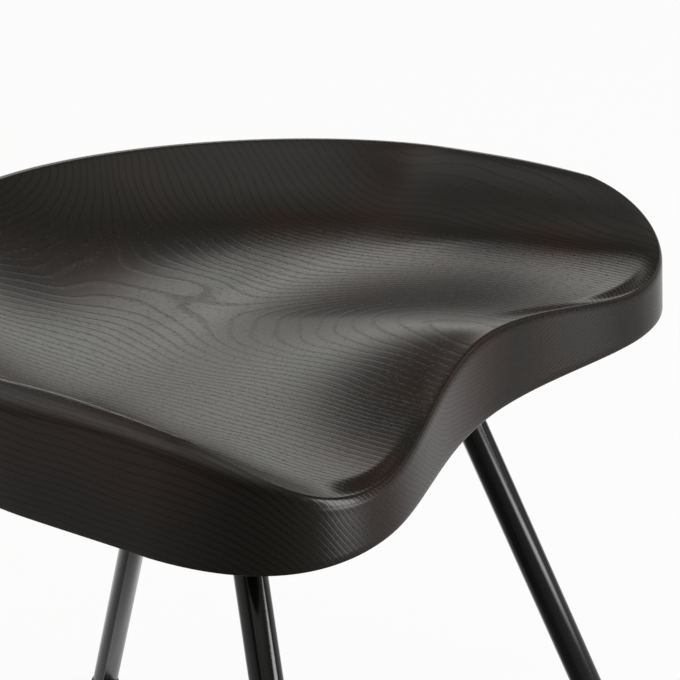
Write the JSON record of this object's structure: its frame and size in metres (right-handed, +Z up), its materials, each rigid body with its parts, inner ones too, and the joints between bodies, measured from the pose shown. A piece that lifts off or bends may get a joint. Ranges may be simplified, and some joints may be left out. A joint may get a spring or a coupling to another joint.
{
  "type": "low stool",
  "caption": "Low stool with a carved, dished oak seat, raised rim, front notch and pommel, on splayed round steel legs.",
  "frame": {"origin": "on the floor, below the middle of the box round the four feet", "axes": "+Z up, -Y the way the sitter faces, +X the sitter's left"},
  "size_m": [0.432, 0.5035, 0.4919],
  "materials": {
    "stained_oak": "satin, near-black stain with open grain",
    "black_gloss_paint": "gloss",
    "zinc_plated_steel": "bright zinc plate",
    "black_nylon": "matte moulded"
  },
  "bodies": {
    "root": {"seat": "stained_oak", "leg_front_left": "black_gloss_paint", "plate_front_left": "zinc_plated_steel", "glide_front_left": "black_nylon", "screw_front_left_1": "zinc_plated_steel", "insert_front_left_1": "zinc_plated_steel", "screw_front_left_2": "zinc_plated_steel", "insert_front_left_2": "zinc_plated_steel", "screw_front_left_3": "zinc_plated_steel", "insert_front_left_3": "zinc_plated_steel", "leg_front_right": "black_gloss_paint", "plate_front_right": "zinc_plated_steel", "glide_front_right": "black_nylon", "screw_front_right_1": "zinc_plated_steel", "insert_front_right_1": "zinc_plated_steel", "screw_front_right_2": "zinc_plated_steel", "insert_front_right_2": "zinc_plated_steel", "screw_front_right_3": "zinc_plated_steel", "insert_front_right_3": "zinc_plated_steel", "leg_rear_left": "black_gloss_paint", "plate_rear_left": "zinc_plated_steel", "glide_rear_left": "black_nylon", "screw_rear_left_1": "zinc_plated_steel", "insert_rear_left_1": "zinc_plated_steel", "screw_rear_left_2": "zinc_plated_steel", "insert_rear_left_2": "zinc_plated_steel", "screw_rear_left_3": "zinc_plated_steel", "insert_rear_left_3": "zinc_plated_steel", "leg_rear_right": "black_gloss_paint", "plate_rear_right": "zinc_plated_steel", "glide_rear_right": "black_nylon", "screw_rear_right_1": "zinc_plated_steel", "insert_rear_right_1": "zinc_plated_steel", "screw_rear_right_2": "zinc_plated_steel", "insert_rear_right_2": "zinc_plated_steel", "screw_rear_right_3": "zinc_plated_steel", "insert_rear_right_3": "zinc_plated_steel"}
  },
  "joints": []
}
